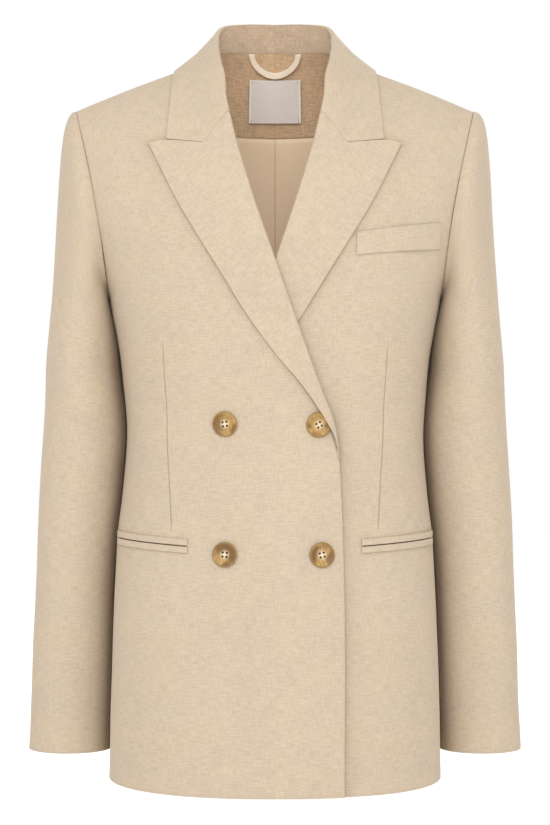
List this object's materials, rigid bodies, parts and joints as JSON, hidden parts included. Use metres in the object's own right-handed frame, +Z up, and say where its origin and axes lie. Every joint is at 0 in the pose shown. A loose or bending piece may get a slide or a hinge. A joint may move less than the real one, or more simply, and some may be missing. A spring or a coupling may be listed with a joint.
{
  "type": "double-breasted blazer",
  "caption": "Long double-breasted blazer with peak lapels, in an oatmeal linen-look cloth, filled out as if worn.",
  "frame": {"origin": "on the middle line between the shoulders, halfway from front to back, where the wearer's shoulders hold the blazer up", "axes": "+X to the wearer's left, +Y to the back, so the front faces -Y, and +Z up"},
  "size_m": [0.5, 0.2728, 0.7667],
  "materials": {
    "suiting": "oatmeal linen-look plain weave, matt, with fine slubs",
    "lining": "tan satin lining",
    "label": "bare grey satin",
    "tape": "cream tape",
    "horn": "brown horn look, marbled, half gloss"
  },
  "bodies": {
    "root": {"front_right": "suiting", "front_left": "suiting", "back_right": "suiting", "back_left": "suiting", "top_sleeve_right": "suiting", "under_sleeve_right": "suiting", "top_sleeve_left": "suiting", "under_sleeve_left": "suiting", "lapel_right": "suiting", "lapel_left": "suiting", "collar": "suiting", "back_neck_facing": "suiting", "breast_welt": "suiting", "pocket_jet_upper_right": "suiting", "pocket_jet_lower_right": "suiting", "pocket_jet_upper_left": "suiting", "pocket_jet_lower_left": "suiting", "back_lining_right": "lining", "back_lining_left": "lining", "neck_label": "label", "hanger_loop": "tape", "button_upper_outer": "horn", "button_upper_edge": "horn", "button_lower_outer": "horn", "button_lower_edge": "horn"}
  },
  "joints": []
}
